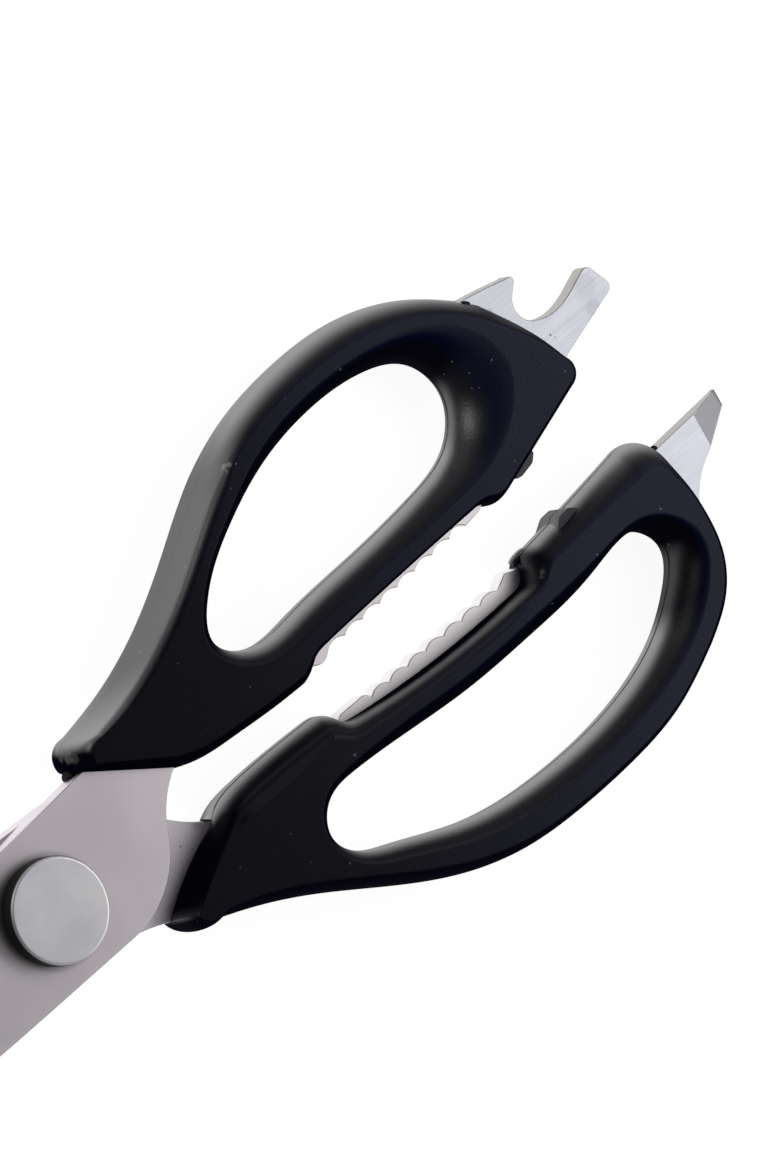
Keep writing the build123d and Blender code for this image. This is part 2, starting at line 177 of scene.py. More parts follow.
def place_and_slope(nodes, links):
    """A surface point's place in metres and its normal, each split into X, Y and Z."""
    where = nodes.new("ShaderNodeTexCoord")
    split = []
    for output in ("Object", "Normal"):
        parts = nodes.new("ShaderNodeSeparateXYZ")
        links.new(where.outputs[output], parts.inputs["Vector"])
        split.append(parts)
    return where, *split


def marked(nodes, links, tone, marks, colour):
    """The tone with a ragged mark laid over it at each place of a list given in millimetres."""
    for spot, reach, share in marks:
        mark = nodes.new("ShaderNodeGroup")
        mark.node_tree = ragged_mark
        mark.inputs["Place"].default_value = [value * 0.001 for value in spot]
        mark.inputs["Reach"].default_value = reach * 0.001
        mark.inputs["Share"].default_value = share
        tone = tinted(nodes, links, mark.outputs["Mask"], tone, colour)
    return tone


STRIP_PAINTED_LIGHT = (0.99, 0.96, 0.97)
TOOL_PAINTED_SHADE = (0.76, 0.84, 0.875)
SHEARED_WALL = (0.47, 0.45, 0.43)
GROUND_FACET = (0.44, 0.44, 0.47)
PIVOT_PAINTED_SHADOW = (0.10, 0.095, 0.095)
LIFTER_EDGE = (0.08, 0.08, 0.09)
STAIN_BROWN = (0.09, 0.08, 0.07)


def worked_plate(material):
    """Marks of the making and of use, and painted light: the rear half's strip is painted paler as painted
    light, the tools are painted darker and bluer as painted shade, sheared walls on the tools are duller and
    warmer, the ground facets are grey, and a painted shadow darkens the plate round the pivot."""
    nodes, links = material.node_tree.nodes, material.node_tree.links
    shader = nodes["Principled BSDF"]
    where, place, slope = place_and_slope(nodes, links)
    flat = nodes.new("ShaderNodeVectorMath")
    flat.operation = "MULTIPLY"
    flat.inputs[1].default_value = (1, 1, 0)
    away = nodes.new("ShaderNodeVectorMath")
    away.operation = "LENGTH"
    links.new(where.outputs["Object"], flat.inputs[0])
    links.new(flat.outputs["Vector"], away.inputs[0])
    tone = shader.inputs["Base Color"].links[0].from_socket
    tool = ramp(nodes, links, place.outputs["X"], 0.098, 0.104)
    wall = ramp(nodes, links, slope.outputs["Z"], 0.65, 0.35)
    past_start = ramp(nodes, links, place.outputs["X"], 0.050, 0.058)
    rear_side = ramp(nodes, links, place.outputs["Y"], -0.0005, -0.0015)
    before_end = ramp(nodes, links, place.outputs["X"], 0.094, 0.088)
    strip = joined(nodes, links, past_start, rear_side, "MINIMUM")
    strip = joined(nodes, links, strip, before_end, "MINIMUM")
    # The rear half's gripping strip is painted near white: painted light.
    tone = tinted(nodes, links, strip, tone, STRIP_PAINTED_LIGHT)
    # The tools past x = 98 mm are painted darker and bluer: painted shade.
    tone = tinted(nodes, links, tool, tone, TOOL_PAINTED_SHADE, "MULTIPLY")
    tone = tinted(nodes, links, joined(nodes, links, tool, wall), tone, SHEARED_WALL)
    ground = ramp(nodes, links, slope.outputs["Z"], 0.985, 0.96)
    not_wall = ramp(nodes, links, slope.outputs["Z"], 0.55, 0.75)
    tone = tinted(nodes, links, joined(nodes, links, ground, not_wall), tone, GROUND_FACET)
    # A painted shadow darkens the plate round the pivot head.
    pivot_shadow = ramp(nodes, links, away.outputs["Value"], 0.0088, 0.0077, 0.0, 0.38)
    tone = tinted(nodes, links, pivot_shadow, tone, PIVOT_PAINTED_SHADOW)
    edge = ramp(nodes, links, place.outputs["X"], 0.1291, 0.1296, 0.0, 0.6)
    tone = tinted(nodes, links, edge, tone, LIFTER_EDGE)
    links.new(marked(nodes, links, tone, STAINS, STAIN_BROWN), shader.inputs["Base Color"])


def finished_copy(name, node, material, roll):
    """A node's solid with its facets joined and its face edges rolled over by a small radius."""
    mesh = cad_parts[node].data.copy()
    mesh.name = name
    work = bmesh.new()
    work.from_mesh(mesh)
    bmesh.ops.remove_doubles(work, verts=work.verts, dist=1e-6)
    bmesh.ops.dissolve_limit(work, angle_limit=np.radians(0.3), verts=work.verts, edges=work.edges)
    layers = work.edges.layers.float
    weight = layers.get("bevel_weight_edge") or layers.new("bevel_weight_edge")
    for edge in work.edges:
        if len(edge.link_faces) == 2:
            first, second = [face.normal for face in edge.link_faces]
            flat = max(abs(first.z), abs(second.z)) > 0.7
            wall = min(edge.link_faces, key=lambda face: abs(face.normal.z))
            height = max(v.co.z for v in wall.verts) - min(v.co.z for v in wall.verts)
            edge[weight] = min(1.0, 0.3 * height / roll) if flat and first.dot(second) < 0.6 else 0.0
            both_walls = max(abs(first.z), abs(second.z)) < 0.3
            edge.smooth = first.dot(second) > (0.8 if both_walls else 0.999)
    work.to_mesh(mesh)
    work.free()
    mesh.materials.clear()
    mesh.materials.append(material)
    piece = bpy.data.objects.new(name, mesh)
    bpy.context.collection.objects.link(piece)
    mesh.shade_smooth()
    bevel = piece.modifiers.new("edge_roll", "BEVEL")
    bevel.limit_method = "WEIGHT"
    bevel.width = roll
    bevel.segments = 4
    bevel.use_clamp_overlap = False
    bevel.harden_normals = True
    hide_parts(node)
    return piece


plate_steel = steel_finish("plate_steel", (0.82, 0.765, 0.81), 0.42, 0.000004, 0.04)
worked_plate(plate_steel)

rear_steel = finished_copy("rear_steel_half", "rear_blade", plate_steel, EDGE_ROLL)
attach(rear_steel, "rear_half")

front_steel = finished_copy("front_steel_half", "front_blade", plate_steel, EDGE_ROLL)
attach(front_steel, "front_half")

# Pivot: a turned steel stud whose oblong tail shows at the back, a dark nylon spacer, and
# the large turned head with a fine bright bevel round its top.
pivot_steel = steel_finish("pivot_steel", (0.76, 0.75, 0.775), 0.42, 0.000003, 0.05)

stud = finished_copy("turned_stud", "pivot_stud", pivot_steel, 0.0002)
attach(stud, "front_half")


def ring_quads(start, rows, columns):
    """Faces of a grid whose columns join up into a ring: each one spans two rows and two columns."""
    index = start + np.arange(rows * columns).reshape(rows, columns)
    low, high = index[:-1], index[1:]
    return np.stack([low, np.roll(low, -1, axis=1), np.roll(high, -1, axis=1), high], axis=-1).reshape(-1, 4)


def placed_mesh(name, points, faces, material):
    """A smooth mesh object from points in millimetres and lists of point numbers."""
    mesh = bpy.data.meshes.new(name)
    mesh.from_pydata(np.asarray(points) * 0.001, [], faces)
    mesh.shade_smooth()
    mesh.materials.append(material)
    piece = bpy.data.objects.new(name, mesh)
    bpy.context.collection.objects.link(piece)
    return piece


def turned(name, profile, material):
    """A profile of radius and height in millimetres, from the lowest ring to the highest, turned
    round the pivot axis. Its first and last rings are closed by flat discs."""
    angle = np.linspace(0, 2 * np.pi, 160, endpoint=False)
    radius, height = np.array(profile).T
    points = np.stack([
        radius[:, None] * np.cos(angle),
        radius[:, None] * np.sin(angle),
        np.repeat(height[:, None], len(angle), axis=1),
    ], axis=-1)
    count = points.shape[0] * len(angle)
    faces = ring_quads(0, *points.shape[:2]).tolist()
    faces += [list(range(len(angle)))[::-1], list(range(count - len(angle), count))]
    return placed_mesh(name, points.reshape(-1, 3), faces, material)


spacer_nylon = bpy.data.materials.new("spacer_nylon")
spacer_nylon.use_nodes = True
nylon_nodes, nylon_links = spacer_nylon.node_tree.nodes, spacer_nylon.node_tree.links
nylon_shader = nylon_nodes["Principled BSDF"]
nylon_where = nylon_nodes.new("ShaderNodeTexCoord")
nylon_cloud = nylon_nodes.new("ShaderNodeTexNoise")
nylon_cloud.inputs["Scale"].default_value = 700
nylon_cloud.inputs["Detail"].default_value = 3
nylon_links.new(nylon_where.outputs["Object"], nylon_cloud.inputs["Vector"])
NYLON_DEEP, NYLON_PALE = (0.008, 0.008, 0.009), (0.016, 0.016, 0.017)
nylon_tone = tinted(nylon_nodes, nylon_links, nylon_cloud.outputs["Fac"], NYLON_DEEP, NYLON_PALE)
nylon_links.new(nylon_tone, nylon_shader.inputs["Base Color"])
nylon_rough = ramp(nylon_nodes, nylon_links, nylon_cloud.outputs["Fac"], 0.2, 0.8, 0.5, 0.65)
nylon_links.new(nylon_rough, nylon_shader.inputs["Roughness"])

spacer = turned("nylon_spacer", [(6.9, 8.75), (7.1, 8.80), (7.1, 9.0), (6.9, 9.05)], spacer_nylon)
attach(spacer, "front_half")
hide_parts("pivot_washer")

HEAD_RADIUS, HEAD_TOP, HEAD_BEVEL = 7.65, 11.95, 0.45
bevel_turn = np.linspace(0, np.pi / 2, 7)
head_profile = [(7.0, 9.05), (7.45, 9.06), (7.6, 9.12), (HEAD_RADIUS, 9.25), (HEAD_RADIUS, 11.2)]
head_profile += [
    (HEAD_RADIUS - HEAD_BEVEL * (1 - np.cos(t)), HEAD_TOP - HEAD_BEVEL * (1 - np.sin(t))) for t in bevel_turn
]
head_profile += [(7.1, HEAD_TOP), (6.0, HEAD_TOP), (5.0, HEAD_TOP)]
head_steel = steel_finish("head_steel", (0.94, 0.93, 0.99), 0.42, 0.000003, 0.09)
head_nodes, head_links = head_steel.node_tree.nodes, head_steel.node_tree.links
head_shader = head_nodes["Principled BSDF"]
head_where = head_nodes.new("ShaderNodeTexCoord")
head_place = head_nodes.new("ShaderNodeSeparateXYZ")
head_links.new(head_where.outputs["Object"], head_place.inputs["Vector"])
# Below the top bevel the head's side is painted near black and not metallic: painted shade.
steel_top = ramp(head_nodes, head_links, head_place.outputs["Z"], 0.01162, 0.01194)
HEAD_SIDE_SHADE = (0.012, 0.011, 0.011)
head_tone = head_shader.inputs["Base Color"].links[0].from_socket
head_tone = tinted(head_nodes, head_links, steel_top, HEAD_SIDE_SHADE, head_tone)
head_links.new(head_tone, head_shader.inputs["Base Color"])
head_links.new(steel_top, head_shader.inputs["Metallic"])
head_shader.inputs["Specular IOR Level"].default_value = 0.1
head = turned("turned_head", head_profile, head_steel)
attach(head, "front_half")
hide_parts("pivot_head")

# Upper handle: two moulded shells of black plastic, glued at a seam half way through the
# thickness. The walls are crowned, the face is flat, and the finger hole ends in a scoop.
# The mould is spark eroded, so all of it has a fine even texture with specks of dust.
CONTACT_Z = 5.75
HALF_THICK = 5.75
REST_TURN = 2.2
COLUMNS = 1200
HOLE_COLUMNS = 800
HOLE_GAPE = 2.4
HOLE_CREASE = 0.3


def natural_spline(points, share):
    """The smooth cubic through the points, with straight ends, at shares of its chord length."""
    points = np.array(points, float)
    knots = np.concatenate([[0], np.cumsum(np.linalg.norm(np.diff(points, axis=0), axis=1))])
    gap = np.diff(knots)
    count = len(points)
    system = np.eye(count)
    right = np.zeros((count, 2))
    inner = np.arange(1, count - 1)
    system[inner, inner - 1] = gap[:-1]
    system[inner, inner] = 2 * (gap[:-1] + gap[1:])
    system[inner, inner + 1] = gap[1:]
    slope = np.diff(points, axis=0) / gap[:, None]
    right[inner] = 6 * (slope[1:] - slope[:-1])
    bend = np.linalg.solve(system, right)
    return cubic_between(points, knots, bend, share * knots[-1])


def cubic_between(points, knots, bend, place):
    """The cubic pieces with the given second derivatives at the knots, read at places along them."""
    at = np.clip(np.searchsorted(knots, place, side="right") - 1, 0, len(knots) - 2)
    gap = knots[at + 1] - knots[at]
    left, right = (knots[at + 1] - place) / gap, (place - knots[at]) / gap
    lift = (gap**2 / 6)[:, None]
    return (
        left[:, None] * points[at] + right[:, None] * points[at + 1]
        + lift * ((left**3 - left)[:, None] * bend[at] + (right**3 - right)[:, None] * bend[at + 1])
    )


def ring_spline(points, share):
    """The smooth closed cubic through the points, at shares of its chord length."""
    points = np.array(points, float)
    count = len(points)
    gap = np.linalg.norm(np.roll(points, -1, axis=0) - points, axis=1)
    before = np.roll(gap, 1)
    row = np.arange(count)
    system = np.zeros((count, count))
    system[row, row - 1] += before
    system[row, row] += 2 * (before + gap)
    system[row, (row + 1) % count] += gap
    slope = (np.roll(points, -1, axis=0) - points) / gap[:, None]
    bend = np.linalg.solve(system, 6 * (slope - np.roll(slope, 1, axis=0)))
    knots = np.concatenate([[0], np.cumsum(gap)])
    closed = np.vstack([points, points[:1]])
    return cubic_between(closed, knots, np.vstack([bend, bend[:1]]), share * knots[-1])


def arc_through(points, share):
    """The circle's arc through three points, at shares of its angle."""
    (ax, ay), (bx, by), (cx, cy) = points
    twice = 2 * (ax * (by - cy) + bx * (cy - ay) + cx * (ay - by))
    squares = np.array([ax**2 + ay**2, bx**2 + by**2, cx**2 + cy**2])
    centre = np.array([
        squares @ np.array([by - cy, cy - ay, ay - by]),
        squares @ np.array([cx - bx, ax - cx, bx - ax]),
    ]) / twice
    turns = [np.arctan2(y - centre[1], x - centre[0]) for x, y in points]
    sweep = (turns[2] - turns[0]) % (2 * np.pi)
    if (turns[1] - turns[0]) % (2 * np.pi) > sweep:
        sweep -= 2 * np.pi
    turn = turns[0] + sweep * share
    return centre + np.hypot(ax - centre[0], ay - centre[1]) * np.stack([np.cos(turn), np.sin(turn)], 1)


def along(stretch, share):
    """A line through two points, an arc through three or a smooth curve through more."""
    if len(stretch) == 2:
        start, end = np.array(stretch, float)
        return start + (end - start) * share[:, None]
    if len(stretch) == 3:
        return arc_through(stretch, share)
    return natural_spline(stretch, share)


def softened(ring, spread):
    """The closed ring with its corners rounded: each point becomes a bell-weighted mean of those
    beside it."""
    reach = int(3 * spread)
    steps = np.arange(-reach, reach + 1)
    weights = np.exp(-0.5 * (steps / spread) ** 2)
    weights /= weights.sum()
    return sum(w * np.roll(ring, -s, axis=0) for w, s in zip(weights, steps))


def outline_pair(rim, face, columns):
    """Rim and face outlines, point for point, spaced by the rim's length and with softened corners,
    and the number of the stretch that each point lies in."""
    fine = np.linspace(0, 1, 201)
    lengths = [np.linalg.norm(np.diff(along(s, fine), axis=0), axis=1).sum() for s in rim]
    ends = np.round(np.cumsum([0] + lengths) / sum(lengths) * columns).astype(int)
    counts = np.diff(ends)
    rings = []
    for stretches in (rim, face):
        parts = [along(s, np.arange(n) / n) for s, n in zip(stretches, counts)]
        rings.append(softened(np.vstack(parts), 1.6))
    return *rings, np.repeat(np.arange(len(rim)), counts)


def roll(level, straight):
    """Share of the way from rim to face at a share of the half thickness: nearly an ellipse's
    quarter where straight is 0, and a plain slope where it is 1."""
    drop = (1 - np.sqrt(1 - (0.95 * level) ** 2)) / (1 - np.sqrt(1 - 0.95**2))
    return straight * level + (1 - straight) * drop


def wall_rows(rim, face, half, straight, crease, gape, side, ledge=(0.0, 0.0)):
    """Rows of points up a wall, from the seam to the flat front, for the shell on one side of it.

    Both rings keep the plastic on their left. The wall starts in a fine groove, which gape makes
    wider and deeper. It follows roll() from rim to face, and its crease is rounded by a parabola
    that leaves the wall a little below the front and meets the front a little way in. A ledge of
    some width and drop lies lower than the rest of the front.
    """
    step = np.roll(face, -1, axis=0) - np.roll(face, 1, axis=0)
    inward = np.stack([-step[:, 1], step[:, 0]], 1) / np.linalg.norm(step, axis=1, keepdims=True)
    inward = np.column_stack([inward, np.zeros(len(face))])
    ledge_width, ledge_drop = [np.broadcast_to(value, len(face))[:, None] for value in ledge]
    first = 0.016 * gape[:, None]
    last = 1 - crease[:, None] / half
    shares = np.concatenate([[0.0], np.linspace(0.03, 1, 24)])
    levels = [first * 0.15, first * 0.5] + [first + (last - first) * share for share in shares]
    sinks = [0.11 * gape[:, None], 0.05 * gape[:, None]] + [0.0] * len(shares)
    rows = []
    for level, sink in zip(levels, sinks):
        place = rim + (face - rim) * roll(level, straight[:, None]) + inward[:, :2] * sink
        rows.append(np.column_stack([place, CONTACT_Z + side * half * level[:, 0]]))
    top = np.column_stack([face, np.full(len(face), CONTACT_Z + side * half)])
    down = np.array([0, 0, -side]) * ledge_drop
    low, corner, far = rows[-1], top + down, top + down + inward * crease[:, None]
    for t in (0.2, 0.4, 0.6, 0.8, 1.0):
        rows.append((1 - t) ** 2 * low + 2 * t * (1 - t) * corner + t**2 * far)
    small = np.minimum(crease, 0.35)[:, None]
    for share in (0.07, 0.21, 0.33):
        rows.append(far + inward * (ledge_width + share * small) - down * (share > 0.1))
    return np.array(rows)


def flat_fill(rings, numbers):
    """Triangles that fill the flat between an outer ring and the holes in it, by point number."""
    loops = [[Vector((x, y, 0)) for x, y in ring[:, :2]] for ring in rings]
    return numbers[np.array(tessellate_polygon(loops))].tolist()


def moulded(name, walls, turn, material):
    """A closed solid from its walls: the outer one and any round a hole. Flat fills join their
    first rows in the parting plane and their last rows in the front."""
    points = np.vstack([wall.reshape(-1, 3) for wall in walls])
    starts = np.cumsum([0] + [wall.shape[0] * wall.shape[1] for wall in walls])
    faces = []
    for wall, start in zip(walls, starts):
        faces += ring_quads(start, *wall.shape[:2]).tolist()
    for row in (0, -1):
        numbers = []
        for wall, start in zip(walls, starts):
            rows, columns = wall.shape[:2]
            numbers.append(start + (row % rows) * columns + np.arange(columns))
        faces += flat_fill([wall[row] for wall in walls], np.concatenate(numbers))
    angle = np.radians(turn)
    cos, sin = np.cos(angle), np.sin(angle)
    x, y, z = points.T
    piece = placed_mesh(name, np.stack([x * cos - y * sin, x * sin + y * cos, z], 1), faces, material)
    work = bmesh.new()
    work.from_mesh(piece.data)
    bmesh.ops.recalc_face_normals(work, faces=work.faces)
    work.to_mesh(piece.data)
    work.free()
    return piece


# Where the plastic is scuffed pale or holds a grain of dust, and where a pale mark is a painted highlight:
# place and reach in millimetres, and how pale. They are the collar's corner, where the four marks are
# painted highlight, the step on the neck, the hollow at the far end of the gripping strip, the lower collar,
# and the dust in the scoop.
PALE_MARKS = [
    ((15.2, 15.6, 6.4), 0.9, 0.2), ((15.3, 15.2, 8.1), 1.0, 0.25),
    ((15.5, 14.8, 9.3), 0.8, 0.18), ((15.9, 16.3, 5.3), 1.0, 0.2),
    ((58.1, 34.0, 10.8), 0.5, 0.8), ((58.7, 33.9, 11.2), 0.45, 0.7),
    ((89.3, -6.4, 10.8), 0.45, 0.3), ((88.8, -6.8, 10.8), 0.4, 0.25), ((29.0, -5.0, 4.0), 0.6, 0.8),
    ((96.2, 24.8, 9.6), 0.14, 0.6), ((100.7, 21.8, 11.2), 0.14, 0.7), ((94.8, 23.8, 8.2), 0.12, 0.6),
    ((97.3, 22.1, 9.9), 0.12, 0.6), ((96.5, 20.1, 9.6), 0.14, 0.6), ((97.2, 19.6, 10.1), 0.12, 0.6),
    ((108.9, 14.0, 11.5), 0.15, 0.5),
]
SCUFF_AND_HIGHLIGHT_GREY = (0.36, 0.35, 0.34)
DUST_GREY = (0.22, 0.22, 0.23)
NEAR_BLACK = (0.0033, 0.0031, 0.0090)
FAR_FLAT_PAINTED_LIGHT = (0.0028, 0.0058, 0.0275)


def black_plastic():
    """Satin black plastic: fine spark-eroded bump, a soft change of roughness, pale dust specks and scuffs,
    painted highlights at the collar, flats painted bluer and brighter towards the far end as painted light,
    and a painted sheen and shade, as gloss that a point attribute gives at each point."""
    material = bpy.data.materials.new("black_grip_plastic")
    material.use_nodes = True
    nodes, links = material.node_tree.nodes, material.node_tree.links
    shader = nodes["Principled BSDF"]
    shader.inputs["Specular IOR Level"].default_value = 0.0
    shader.inputs["Coat IOR"].default_value = 4.0
    shader.inputs["Coat Roughness"].default_value = 0.39
    where, place, slope = place_and_slope(nodes, links)
    spark = nodes.new("ShaderNodeTexNoise")
    spark.inputs["Scale"].default_value = 3200
    spark.inputs["Detail"].default_value = 3
    spark.inputs["Roughness"].default_value = 0.6
    links.new(where.outputs["Object"], spark.inputs["Vector"])
    bump = nodes.new("ShaderNodeBump")
    bump.inputs["Distance"].default_value = 0.00005
    bump.inputs["Strength"].default_value = 0.8
    links.new(spark.outputs["Fac"], bump.inputs["Height"])
    links.new(bump.outputs["Normal"], shader.inputs["Normal"])
    links.new(bump.outputs["Normal"], shader.inputs["Coat Normal"])
    patch = nodes.new("ShaderNodeTexNoise")
    patch.inputs["Scale"].default_value = 60
    links.new(where.outputs["Object"], patch.inputs["Vector"])
    rough = nodes.new("ShaderNodeMapRange")
    rough.inputs["To Min"].default_value = 0.34
    rough.inputs["To Max"].default_value = 0.44
    links.new(patch.outputs["Fac"], rough.inputs["Value"])
    links.new(rough.outputs["Result"], shader.inputs["Roughness"])
    painted_sheen = nodes.new("ShaderNodeAttribute")
    painted_sheen.attribute_name = "painted_sheen"
    links.new(painted_sheen.outputs["Fac"], shader.inputs["Coat Weight"])
    cell = nodes.new("ShaderNodeTexVoronoi")
    cell.inputs["Scale"].default_value = 420
    links.new(where.outputs["Object"], cell.inputs["Vector"])
    near = nodes.new("ShaderNodeMapRange")
    near.inputs["From Min"].default_value = 0.10
    near.inputs["From Max"].default_value = 0.04
    links.new(cell.outputs["Distance"], near.inputs["Value"])
    pick = nodes.new("ShaderNodeSeparateColor")
    links.new(cell.outputs["Color"], pick.inputs["Color"])
    rare = nodes.new("ShaderNodeMapRange")
    rare.inputs["From Min"].default_value = 0.74
    rare.inputs["From Max"].default_value = 1.0
    links.new(pick.outputs["Red"], rare.inputs["Value"])
    speck = joined(nodes, links, near.outputs["Result"], rare.outputs["Result"])
    # Flats towards the far end are painted bluer and brighter: painted light.
    far = ramp(nodes, links, place.outputs["X"], 0.03, 0.10)
    flat = ramp(nodes, links, slope.outputs["Z"], 0.75, 0.97)
    tone = tinted(nodes, links, joined(nodes, links, far, flat), NEAR_BLACK, FAR_FLAT_PAINTED_LIGHT)
    tone = tinted(nodes, links, speck, tone, DUST_GREY)
    links.new(marked(nodes, links, tone, PALE_MARKS, SCUFF_AND_HIGHLIGHT_GREY), shader.inputs["Base Color"])
    return material


def eased(value, low, high):
    """A soft step: 0 up to low and 1 from high on."""
    share = np.clip((value - low) / (high - low), 0, 1)
    return share**2 * (3 - 2 * share)


def write_painted_sheen(piece, shaded_places=(), flat_gloss=1.0):
    """Writes painted sheen and painted shade, as gloss, at each point of a moulded piece into a point
    attribute: most on walls that face +Y, almost none on those that face -Y, falling off towards the creases
    as painted shade but not on the upper neck, and little on the flats, a little more towards the far end.
    It follows how the photograph shows the handles lit. Each shaded place is an ellipsoid, given by its
    centre and radii in millimetres and the share of gloss that it loses."""
    count = len(piece.data.vertices)
    place, normal = np.empty(count * 3), np.empty(count * 3)
    piece.data.vertices.foreach_get("co", place)
    piece.data.vertices.foreach_get("normal", normal)
    place, normal = place.reshape(-1, 3) * 1000, normal.reshape(-1, 3)
    toward = 0.97 * normal[:, 1] - 0.1 * normal[:, 0] + 0.2 * np.abs(normal[:, 2])
    flat = eased(np.abs(normal[:, 2]), 0.9, 0.98)
    upper_neck = eased(place[:, 1] - 0.43 * place[:, 0], 3, 6) * eased(-place[:, 0], -64, -52)
    by_crease = eased(np.abs(place[:, 2] - CONTACT_Z), 1.5, 5.6) * (1 - upper_neck)
    amount = (0.01 + 0.94 * eased(toward, -0.1, 0.8)) * (1 - 0.87 * by_crease)
    for centre, radii, loss in shaded_places:
        apart = np.linalg.norm((place - np.array(centre)) / np.array(radii), axis=1)
        amount = amount * (1 - loss * eased(-apart, -1.3, -0.7))
    amount = amount * (1 - flat) + flat * flat_gloss * (0.026 + 0.024 * eased(place[:, 0], 30, 100))
    layer = piece.data.attributes.new("painted_sheen", "FLOAT", "POINT")
    layer.data.foreach_set("value", amount)


grip_plastic = black_plastic()

upper_rim = [
    [(27.2, 3.6), (31.0, 2.1), (38.0, 1.0), (45.0, 0.3), (51.0, 0.0)],
    [(51.0, 0.0), (52.8, 0.7), (54.4, 1.9), (56.5, 2.4)],
    [(56.5, 2.4), (72.0, 2.75), (87.5, 2.8)],
    [(87.5, 2.8), (88.8, 2.2), (90.2, 1.3), (92.2, 1.4)],
    [(92.2, 1.4), (110.0, 6.6)],
    [(110.0, 6.6), (112.1, 8.3), (111.8, 11.2)],
    [(111.8, 11.2), (110.4, 15.9), (108.4, 20.4), (105.9, 25.0)],
    [(105.9, 25.0), (98.4, 31.3), (87.0, 35.9), (76.5, 36.6), (66.7, 35.4),
     (57.3, 31.8), (47.5, 26.0), (36.9, 20.5), (26.4, 17.2), (18.8, 16.1)],
    [(18.8, 16.1), (15.8, 15.1), (15.3, 12.2)],
    [(15.3, 12.2), (27.2, 3.6)],
]
upper_face = [
    [(28.2, 5.0), (31.5, 3.9), (38.0, 2.9), (45.0, 2.2), (50.4, 1.9)],
    [(50.4, 1.9), (52.0, 2.5), (53.8, 3.3), (56.5, 3.5)],
    [(56.5, 3.5), (72.0, 3.8), (87.5, 3.9)],
    [(87.5, 3.9), (88.8, 3.6), (90.2, 2.9), (92.2, 2.9)],
    [(92.2, 2.9), (109.0, 7.9)],
    [(109.0, 7.9), (110.8, 9.2), (110.6, 11.0)],
    [(110.6, 11.0), (109.1, 15.2), (106.8, 19.0), (103.9, 23.3)],
    [(103.9, 23.3), (101.2, 26.1), (94.8, 30.4), (85.4, 33.3), (76.0, 34.0), (66.8, 33.3),
     (57.8, 30.6), (48.0, 25.3), (37.2, 19.6), (27.0, 16.2), (20.6, 14.9)],
    [(20.6, 14.9), (18.0, 13.9), (17.3, 12.1)],
    [(17.3, 12.1), (28.2, 5.0)],
]
upper_hole_rim = [
    (43.8, 13.6), (47.0, 9.4), (57.0, 8.4), (70.5, 8.8), (82.0, 9.5), (90.0, 11.5), (94.6, 17.6),
    (93.1, 23.8), (86.5, 27.6), (76.2, 28.8), (66.3, 27.6), (56.3, 24.2), (46.7, 18.3),
]
upper_hole_face = [
    (41.6, 13.4), (45.4, 7.7), (57.0, 6.2), (70.5, 6.1), (83.0, 6.2), (94.5, 7.8), (103.0, 16.5),
    (100.0, 24.7), (96.4, 27.6), (88.5, 30.6), (76.2, 31.9), (65.0, 30.3), (55.0, 26.1), (44.9, 19.5),
]

upper_outline, upper_front, upper_stretch = outline_pair(upper_rim, upper_face, COLUMNS)


def hole_wall(rim, face, side):
    """The wall of a finger hole from its rim and face points, for the shell on one side of the seam."""
    share = np.linspace(0, 1, HOLE_COLUMNS, endpoint=False)
    rings = [ring_spline(ring, share) for ring in (rim, face)]
    if np.cross(rings[0], np.roll(rings[0], -1, axis=0)).sum() > 0:
        rings = [ring[::-1] for ring in rings]
    even = np.ones(HOLE_COLUMNS)
    return wall_rows(*rings, HALF_THICK, 0 * even, HOLE_CREASE * even, HOLE_GAPE * even, side)


plain, whole = np.zeros(COLUMNS), np.ones(COLUMNS)

# The neck's outer wall is a soft slope up to the bow, where the full roll begins in a step.
NECK_END = 59.0
on_neck = np.where((upper_stretch == 7) & (upper_outline[:, 0] < NECK_END), 1.0, 0.0)
neck_fade = np.clip((upper_outline[:, 0] - 17) / 6, 0, 1)
upper_crease = softened((0.32 + 1.1 * on_neck * neck_fade)[:, None], 10)[:, 0]
upper_seam = whole - 0.9 * (upper_stretch == 7)

# Painted shade, as less gloss: the collar's end, the neck's outer wall and the scoop.
upper_shade_spots = [
    ((15.5, 13.4, 5.0), (3.8, 2.8, 12.0), 1.0),
    ((40.0, 28.0, 6.0), (28.0, 13.0, 12.0), 0.5),
    ((96.0, 15.5, 7.0), (6.0, 6.0, 12.0), 0.45),
]

for name, node, side in [
    ("upper_front_shell", "upper_grip_front", 1),
    ("upper_rear_shell", "upper_grip_rear", -1),
]:
    sloped = 0.75 * on_neck * neck_fade if side > 0 else plain
    outer = wall_rows(upper_outline, upper_front, HALF_THICK, sloped, upper_crease, upper_seam, side)
    hole = hole_wall(upper_hole_rim, upper_hole_face, side)
    shell = moulded(name, [outer, hole], REST_TURN, grip_plastic)
    write_painted_sheen(shell, upper_shade_spots)
    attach(shell, "front_half")
    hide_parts(node)

# Stop boss of the upper handle: a blunt faceted block on the strip side, moulded in two halves
# with the shells. It meets the lower handle's boss when the shears are shut.
BOSS_HALF, BOSS_LEAN = 3.0, 0.12


